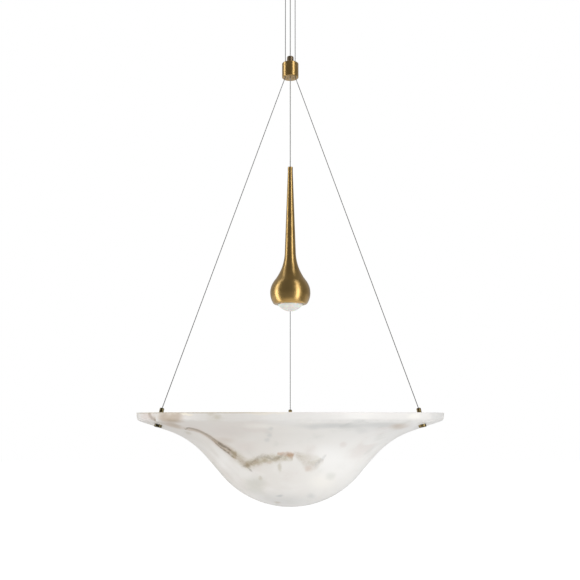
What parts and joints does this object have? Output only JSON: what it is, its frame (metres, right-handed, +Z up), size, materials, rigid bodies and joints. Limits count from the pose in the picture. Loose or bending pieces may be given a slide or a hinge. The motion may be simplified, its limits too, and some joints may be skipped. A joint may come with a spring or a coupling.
{
  "type": "pendant light",
  "caption": "Wide marbled acrylic bowl hung on thin steel cables from a brass hub, with a brass drop lamp on a cord over its middle, and a ceiling canopy with a ball swivel.",
  "frame": {"origin": "middle of the ceiling plate's top face, where it meets the ceiling", "axes": "+Z up into the ceiling, +X to the right as the picture sees it, +Y away from the viewer, towards the back cable; the two ceiling screws lie along X"},
  "size_m": [0.5997, 0.5996, 1.1456],
  "materials": {
    "satin_brass": "satin, lightly aged",
    "dark_brass": "satin, darkened with age",
    "marbled_acrylic": "polished, white with fine grey and tan veins",
    "twisted_steel_cable": "fine twisted strands",
    "zinc_plated_steel": "zinc plated",
    "bearing_nylon": "smooth natural nylon",
    "grey_cord_jacket": "smooth grey jacket",
    "white_lead_jacket": "smooth white jacket",
    "driver_case": "fine grain",
    "terminal_housing": "smooth",
    "clear_washer": "soft, slightly clear",
    "heat_sink_aluminium": "machined",
    "circuit_board": "white solder mask",
    "led_phosphor": "soft phosphor coat",
    "bright_reflector": "polished",
    "frosted_lens": "frosted, lets light through"
  },
  "bodies": {
    "ceiling_mount": {"ceiling_plate": "zinc_plated_steel", "plate_screws": "zinc_plated_steel", "socket_posts": "zinc_plated_steel", "socket_screws": "zinc_plated_steel", "swivel_socket": "satin_brass", "led_driver": "driver_case", "terminal_block": "terminal_housing", "terminal_screws": "zinc_plated_steel", "earth_screw": "satin_brass", "driver_lead": "white_lead_jacket", "power_cord_slack": "grey_cord_jacket"},
    "canopy": {"canopy_cover": "satin_brass", "canopy_screws": "satin_brass"},
    "swivel_bearing": {"swivel_liner": "bearing_nylon"},
    "pendant": {"swivel_ball": "satin_brass", "cable_sleeves": "zinc_plated_steel", "cord_clamp": "bearing_nylon", "power_cord_upper": "grey_cord_jacket", "gather_hub": "satin_brass", "hub_grub_screws": "dark_brass", "cord_collet": "bearing_nylon", "bowl": "marbled_acrylic", "suspension_cable_back": "twisted_steel_cable", "brim_ferrule_back": "satin_brass", "ferrule_set_screw_back": "zinc_plated_steel", "upper_washer_back": "clear_washer", "lower_washer_back": "clear_washer", "end_nut_back": "satin_brass", "suspension_cable_left": "twisted_steel_cable", "brim_ferrule_left": "dark_brass", "ferrule_set_screw_left": "zinc_plated_steel", "upper_washer_left": "clear_washer", "lower_washer_left": "clear_washer", "end_nut_left": "satin_brass", "suspension_cable_right": "twisted_steel_cable", "brim_ferrule_right": "satin_brass", "ferrule_set_screw_right": "zinc_plated_steel", "upper_washer_right": "clear_washer", "lower_washer_right": "clear_washer", "end_nut_right": "satin_brass"},
    "cord_nut": {"cord_nut": "satin_brass"},
    "drop_cord": {"power_cord_lower": "grey_cord_jacket"},
    "drop": {"cord_cap": "satin_brass", "drop_stem": "satin_brass", "drop_bulb": "satin_brass", "inner_tube": "zinc_plated_steel", "heat_sink": "heat_sink_aluminium", "lamp_lead": "grey_cord_jacket", "led_board": "circuit_board", "led_chip": "led_phosphor", "reflector": "bright_reflector"},
    "lens": {"lens_ring": "satin_brass", "drop_lens": "frosted_lens"}
  },
  "joints": [
    {"name": "canopy_slide", "type": "slide", "parent": "ceiling_mount", "child": "canopy", "axis": [0, 0, 1], "range_m": [-0.06, 0]},
    {"name": "swivel_x", "type": "hinge", "parent": "ceiling_mount", "child": "swivel_bearing", "pos_m": [0, 0, -0.03], "axis": [1, 0, 0], "range_deg": [-10, 10]},
    {"name": "swivel_y", "type": "hinge", "parent": "swivel_bearing", "child": "pendant", "pos_m": [0, 0, -0.03], "axis": [0, 1, 0], "range_deg": [-10, 10]},
    {"name": "cord_nut_turn", "type": "hinge", "parent": "pendant", "child": "cord_nut", "pos_m": [0, 0, -0.238], "axis": [0, 0, 1], "range_deg": [0, 180]},
    {"name": "drop_swing", "type": "hinge", "parent": "pendant", "child": "drop_cord", "pos_m": [0, 0, -0.27], "axis": [0, 1, 0], "range_deg": [-10, 10]},
    {"name": "drop_height", "type": "slide", "parent": "drop_cord", "child": "drop", "axis": [0, 0, 1], "range_m": [-0.08, 0.07]},
    {"name": "lens_turn", "type": "hinge", "parent": "drop", "child": "lens", "pos_m": [0, 0, -0.7486], "axis": [0, 0, 1], "range_deg": [0, 30]}
  ]
}
